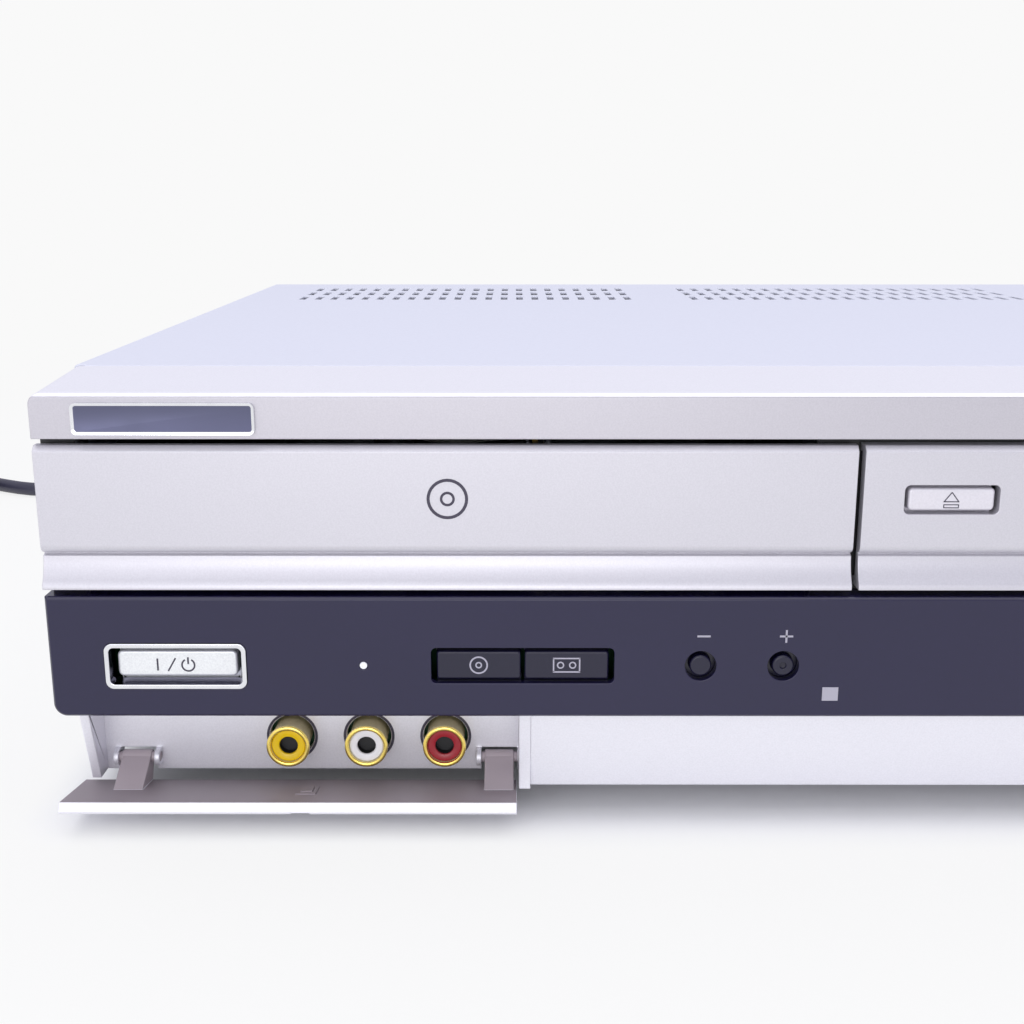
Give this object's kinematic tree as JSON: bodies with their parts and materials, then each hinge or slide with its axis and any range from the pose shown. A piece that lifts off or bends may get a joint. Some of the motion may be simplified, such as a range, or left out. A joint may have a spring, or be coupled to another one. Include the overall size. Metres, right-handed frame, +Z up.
{
  "type": "dvd vcr combo player",
  "caption": "Low flat disc and cassette player with a tray at the left, a cassette door at the right, a dark control band, push buttons and a drop-down flap over the front sockets.",
  "frame": {"origin": "on the table under the middle of the player, without its loose cord", "axes": "+X to the right as seen from the front, +Y towards the back, +Z up"},
  "size_m": [0.6426, 0.3125, 0.0848],
  "materials": {
    "cover_paint": "satin",
    "chassis_steel": "zinc plated",
    "rear_paint": "matt",
    "silver_plastic": "satin painted",
    "fascia_plastic": "semi gloss",
    "bright_trim": "bright",
    "foot_rubber": "matt",
    "gold_plate": "bright",
    "yellow_plastic": "gloss",
    "white_plastic": "gloss",
    "red_plastic": "gloss",
    "board_green": "lacquered",
    "drive_plastic": "moulded",
    "motor_steel": "plated",
    "drum_aluminium": "turned",
    "cord_rubber": "matt"
  },
  "bodies": {
    "root": {"top_cover": "cover_paint", "bottom_chassis": "chassis_steel", "rear_panel": "rear_paint", "feet": "foot_rubber", "case_screws": "chassis_steel", "front_panel": "silver_plastic", "control_fascia": "fascia_plastic", "disc_eject_panel": "silver_plastic", "tape_eject_panel": "silver_plastic", "power_button_frame": "bright_trim", "display_window": "fascia_plastic", "led_lens": "white_plastic", "control_board": "board_green", "phono_shells": "gold_plate", "yellow_inserts": "yellow_plastic", "white_inserts": "white_plastic", "red_inserts": "red_plastic", "antenna_sockets": "gold_plate", "signal_boards": "board_green", "power_supply_board": "board_green", "drive_frame": "drive_plastic", "loading_motor": "motor_steel", "deck_plate": "chassis_steel", "lower_drum": "drum_aluminium", "cord_gland": "drive_plastic", "power_cord": "cord_rubber", "cord_coil": "cord_rubber", "plug_body": "cord_rubber", "plug_blades": "gold_plate"},
    "tray": {"disc_tray": "drive_plastic", "tray_lid": "silver_plastic"},
    "pinion": {"tray_pinion": "white_plastic"},
    "motor_gear": {"motor_gear": "white_plastic"},
    "traverse": {"traverse": "drive_plastic", "guide_rods": "chassis_steel", "spindle_motor": "motor_steel"},
    "turntable": {"turntable": "drive_plastic"},
    "clamper": {"disc_clamper": "drive_plastic"},
    "pickup": {"optical_pickup": "drive_plastic"},
    "lead_screw": {"lead_screw": "chassis_steel"},
    "head_drum": {"upper_drum": "drum_aluminium"},
    "supply_reel": {"supply_reel": "drive_plastic"},
    "takeup_reel": {"takeup_reel": "drive_plastic"},
    "capstan": {"capstan": "motor_steel"},
    "pinch_roller": {"pinch_roller": "foot_rubber"},
    "carriage": {"cassette_carriage": "chassis_steel"},
    "cassette_door": {"cassette_door": "silver_plastic"},
    "av_flap": {"av_flap": "silver_plastic"},
    "power_button": {"power_button": "silver_plastic"},
    "disc_eject_button": {"disc_eject_button": "silver_plastic"},
    "tape_eject_button": {"tape_eject_button": "silver_plastic"},
    "select_disc_button": {"select_disc_button": "fascia_plastic"},
    "select_tape_button": {"select_tape_button": "fascia_plastic"},
    "channel_down_button": {"channel_down_button": "fascia_plastic"},
    "channel_up_button": {"channel_up_button": "fascia_plastic"},
    "rewind_button": {"rewind_button": "fascia_plastic"},
    "play_button": {"play_button": "fascia_plastic"},
    "fast_forward_button": {"fast_forward_button": "fascia_plastic"},
    "stop_button": {"stop_button": "fascia_plastic"},
    "record_button": {"record_button": "fascia_plastic"}
  },
  "joints": [
    {"name": "tray_slide", "type": "slide", "parent": "root", "child": "tray", "axis": [0, -1, 0], "range_m": [0, 0.136]},
    {"name": "pinion_spin", "type": "hinge", "parent": "root", "child": "pinion", "pos_m": [-0.104, -0.1033, 0.052], "axis": [0, 0, 1], "range_deg": [-870, 4]},
    {"name": "motor_spin", "type": "hinge", "parent": "root", "child": "motor_gear", "pos_m": [-0.1222, -0.1033, 0.052], "axis": [0, 0, 1], "range_deg": [-12, 2895]},
    {"name": "traverse_tilt", "type": "hinge", "parent": "root", "child": "traverse", "pos_m": [-0.1425, 0.0292, 0.0515], "axis": [1, 0, 0], "range_deg": [0, 4]},
    {"name": "turntable_spin", "type": "hinge", "parent": "traverse", "child": "turntable", "pos_m": [-0.1425, -0.0588, 0.06], "axis": [0, 0, 1], "continuous": true},
    {"name": "clamper_spin", "type": "hinge", "parent": "root", "child": "clamper", "pos_m": [-0.1425, -0.0588, 0.066], "axis": [0, 0, 1], "continuous": true},
    {"name": "pickup_slide", "type": "slide", "parent": "traverse", "child": "pickup", "axis": [0, 1, 0], "range_m": [0, 0.032]},
    {"name": "lead_screw_spin", "type": "hinge", "parent": "traverse", "child": "lead_screw", "pos_m": [-0.121, -0.0138, 0.0504], "axis": [0, 1, 0], "range_deg": [-12, 3850]},
    {"name": "drum_spin", "type": "hinge", "parent": "root", "child": "head_drum", "pos_m": [0.07, 0.0472, 0.0205], "axis": [0, -0.1028, 0.9947], "continuous": true},
    {"name": "supply_spin", "type": "hinge", "parent": "root", "child": "supply_reel", "pos_m": [0.024, -0.0508, 0.022], "axis": [0, 0, 1], "continuous": true},
    {"name": "takeup_spin", "type": "hinge", "parent": "root", "child": "takeup_reel", "pos_m": [0.116, -0.0508, 0.022], "axis": [0, 0, 1], "continuous": true},
    {"name": "capstan_spin", "type": "hinge", "parent": "root", "child": "capstan", "pos_m": [0.129, -0.0068, 0.022], "axis": [0, 0, 1], "continuous": true},
    {"name": "pinch_roller_spin", "type": "hinge", "parent": "root", "child": "pinch_roller", "pos_m": [0.142, -0.0048, 0.035], "axis": [0, 0, 1], "continuous": true},
    {"name": "carriage_lower", "type": "slide", "parent": "root", "child": "carriage", "axis": [0, 0, -1], "range_m": [0, 0.019]},
    {"name": "cassette_door_swing", "type": "hinge", "parent": "root", "child": "cassette_door", "pos_m": [0.07, -0.1268, 0.0732], "axis": [1, 0, 0], "range_deg": [0, 95], "stiffness_Nm_per_rad": 0.006, "springref_deg": -34.38},
    {"name": "av_flap_hinge", "type": "hinge", "parent": "root", "child": "av_flap", "pos_m": [-0.1723, -0.1156, 0.0095], "axis": [1, 0, 0], "range_deg": [-63.2, 0]},
    {"name": "power_button_press", "type": "slide", "parent": "root", "child": "power_button", "axis": [0, 1, 0], "range_m": [0, 0.0008], "stiffness_N_per_m": 400},
    {"name": "disc_eject_button_press", "type": "slide", "parent": "root", "child": "disc_eject_button", "axis": [0, 1, 0], "range_m": [0, 0.0008], "stiffness_N_per_m": 400},
    {"name": "tape_eject_button_press", "type": "slide", "parent": "root", "child": "tape_eject_button", "axis": [0, 1, 0], "range_m": [0, 0.0008], "stiffness_N_per_m": 400},
    {"name": "select_disc_button_press", "type": "slide", "parent": "root", "child": "select_disc_button", "axis": [0, 1, 0], "range_m": [0, 0.0008], "stiffness_N_per_m": 400},
    {"name": "select_tape_button_press", "type": "slide", "parent": "root", "child": "select_tape_button", "axis": [0, 1, 0], "range_m": [0, 0.0008], "stiffness_N_per_m": 400},
    {"name": "channel_down_button_press", "type": "slide", "parent": "root", "child": "channel_down_button", "axis": [0, 1, 0], "range_m": [0, 0.0008], "stiffness_N_per_m": 400},
    {"name": "channel_up_button_press", "type": "slide", "parent": "root", "child": "channel_up_button", "axis": [0, 1, 0], "range_m": [0, 0.0008], "stiffness_N_per_m": 400},
    {"name": "rewind_button_press", "type": "slide", "parent": "root", "child": "rewind_button", "axis": [0, 1, 0], "range_m": [0, 0.0008], "stiffness_N_per_m": 400},
    {"name": "play_button_press", "type": "slide", "parent": "root", "child": "play_button", "axis": [0, 1, 0], "range_m": [0, 0.0008], "stiffness_N_per_m": 400},
    {"name": "fast_forward_button_press", "type": "slide", "parent": "root", "child": "fast_forward_button", "axis": [0, 1, 0], "range_m": [0, 0.0008], "stiffness_N_per_m": 400},
    {"name": "stop_button_press", "type": "slide", "parent": "root", "child": "stop_button", "axis": [0, 1, 0], "range_m": [0, 0.0008], "stiffness_N_per_m": 400},
    {"name": "record_button_press", "type": "slide", "parent": "root", "child": "record_button", "axis": [0, 1, 0], "range_m": [0, 0.0008], "stiffness_N_per_m": 400}
  ],
  "couplings": [
    {"joint": "pinion_spin", "follows": "tray_slide", "rad_per_m": -111.11},
    {"joint": "motor_spin", "follows": "tray_slide", "rad_per_m": 370.37},
    {"joint": "lead_screw_spin", "follows": "pickup_slide", "rad_per_m": 2094.4}
  ]
}
